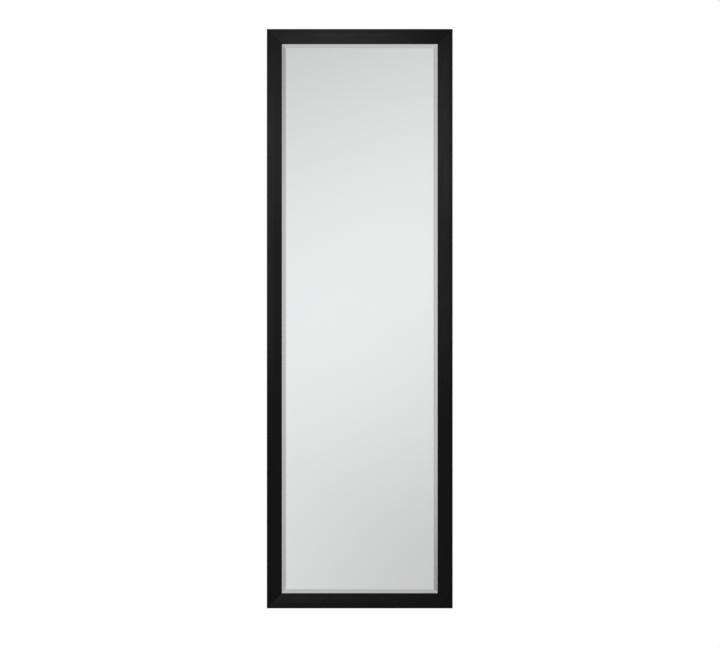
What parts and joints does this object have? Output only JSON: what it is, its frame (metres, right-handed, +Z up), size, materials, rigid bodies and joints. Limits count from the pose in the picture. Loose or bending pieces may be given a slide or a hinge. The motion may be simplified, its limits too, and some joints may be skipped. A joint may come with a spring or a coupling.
{
  "type": "full length mirror",
  "caption": "Tall rectangular wall mirror: bevelled glass in a slim mitred black frame that slopes towards the glass, with a backing board, strap hangers with D rings and wall bumpers.",
  "frame": {"origin": "on the wall plane, midway between the two D rings, at the height of their pivots", "axes": "+Z up along the mirror's height, +Y towards the wall, so the glass faces -Y, and +X to the right of someone who looks into the glass"},
  "size_m": [0.4318, 0.0295, 1.3462],
  "materials": {
    "frame_black": "satin",
    "glass": "gloss",
    "silver": "polished",
    "card": "matte",
    "board": "matte",
    "zinc_steel": "satin",
    "rubber": "matte"
  },
  "bodies": {
    "mirror": {"top_rail": "frame_black", "bottom_rail": "frame_black", "left_stile": "frame_black", "right_stile": "frame_black", "mirror_glass": "glass", "silver_coat": "silver", "filler_sheet": "card", "backing_board": "board", "framing_points": "zinc_steel", "hanger_screws": "zinc_steel", "corner_nails_top_left": "zinc_steel", "corner_nails_top_right": "zinc_steel", "corner_nails_bottom_left": "zinc_steel", "corner_nails_bottom_right": "zinc_steel", "hanger_strap_left": "zinc_steel", "hanger_strap_right": "zinc_steel", "setting_block_left": "rubber", "setting_block_right": "rubber", "bumper_left": "rubber", "bumper_right": "rubber"},
    "ring_left": {"d_ring_left": "zinc_steel"},
    "ring_right": {"d_ring_right": "zinc_steel"}
  },
  "joints": [
    {"name": "ring_left_swing", "type": "hinge", "parent": "mirror", "child": "ring_left", "pos_m": [-0.20233, -0.00292, 0], "axis": [1, 0, 0], "range_deg": [0, 176]},
    {"name": "ring_right_swing", "type": "hinge", "parent": "mirror", "child": "ring_right", "pos_m": [0.20233, -0.00292, 0], "axis": [1, 0, 0], "range_deg": [0, 176]}
  ]
}
